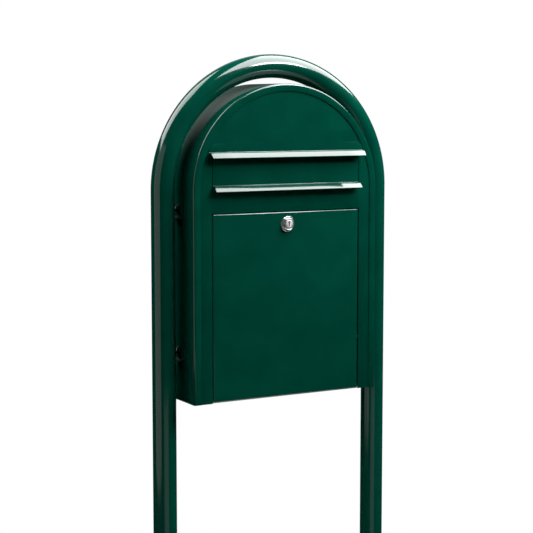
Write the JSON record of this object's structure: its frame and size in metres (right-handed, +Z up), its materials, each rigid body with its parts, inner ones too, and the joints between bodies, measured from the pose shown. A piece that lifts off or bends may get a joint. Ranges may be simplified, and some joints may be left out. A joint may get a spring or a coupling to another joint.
{
  "type": "wall mounted mailbox",
  "caption": "Arched sheet-steel letterbox with a drop-down door, cam lock and letter flap under a drip hood, hung inside an arched round-tube stand with foot plates.",
  "frame": {"origin": "on the ground, midway between the two foot plates, under the axis of the stand's tube", "axes": "+Z up, the front of the box faces -Y, +X to the right seen from the front"},
  "size_m": [0.482, 0.12, 1.1974],
  "materials": {
    "stand_green": "gloss",
    "box_green": "gloss",
    "zinc": "satin",
    "chrome": "polished",
    "rubber": "matte"
  },
  "bodies": {
    "root": {"stand_tube": "stand_green", "foot_plate_left": "stand_green", "foot_plate_right": "stand_green", "foot_welds": "stand_green", "bracket_upper_left": "stand_green", "bracket_upper_right": "stand_green", "bracket_lower_left": "stand_green", "bracket_lower_right": "stand_green", "bracket_nuts": "zinc", "box_screws": "zinc", "box_washers": "zinc", "body_shell": "box_green", "back_plate": "box_green", "back_strip": "box_green", "bottom_plate": "box_green", "front_panel": "box_green", "rain_hood": "box_green", "strike_plate": "zinc", "door_buffers": "rubber", "door_hinge_bracket_left": "zinc", "door_hinge_bracket_right": "zinc", "flap_hinge_bracket_left": "zinc", "flap_hinge_bracket_right": "zinc", "door_hinge_rod": "zinc", "flap_hinge_rod": "zinc"},
    "flap": {"letter_flap": "box_green"},
    "door": {"door": "box_green", "lock_ring": "chrome", "lock_housing": "chrome", "lock_nut": "zinc"},
    "lock_core": {"lock_plug": "chrome", "lock_cam": "zinc", "cam_screw": "zinc"}
  },
  "joints": [
    {"name": "flap_hinge", "type": "hinge", "parent": "root", "child": "flap", "pos_m": [0, -0.04255, 1.0491], "axis": [-1, 0, 0], "range_deg": [0, 65]},
    {"name": "door_hinge", "type": "hinge", "parent": "root", "child": "door", "pos_m": [0, -0.04205, 0.69375], "axis": [1, 0, 0], "range_deg": [0, 100]},
    {"name": "lock_turn", "type": "hinge", "parent": "door", "child": "lock_core", "pos_m": [0, -0.0458, 0.948], "axis": [0, 1, 0], "range_deg": [0, 90]}
  ]
}
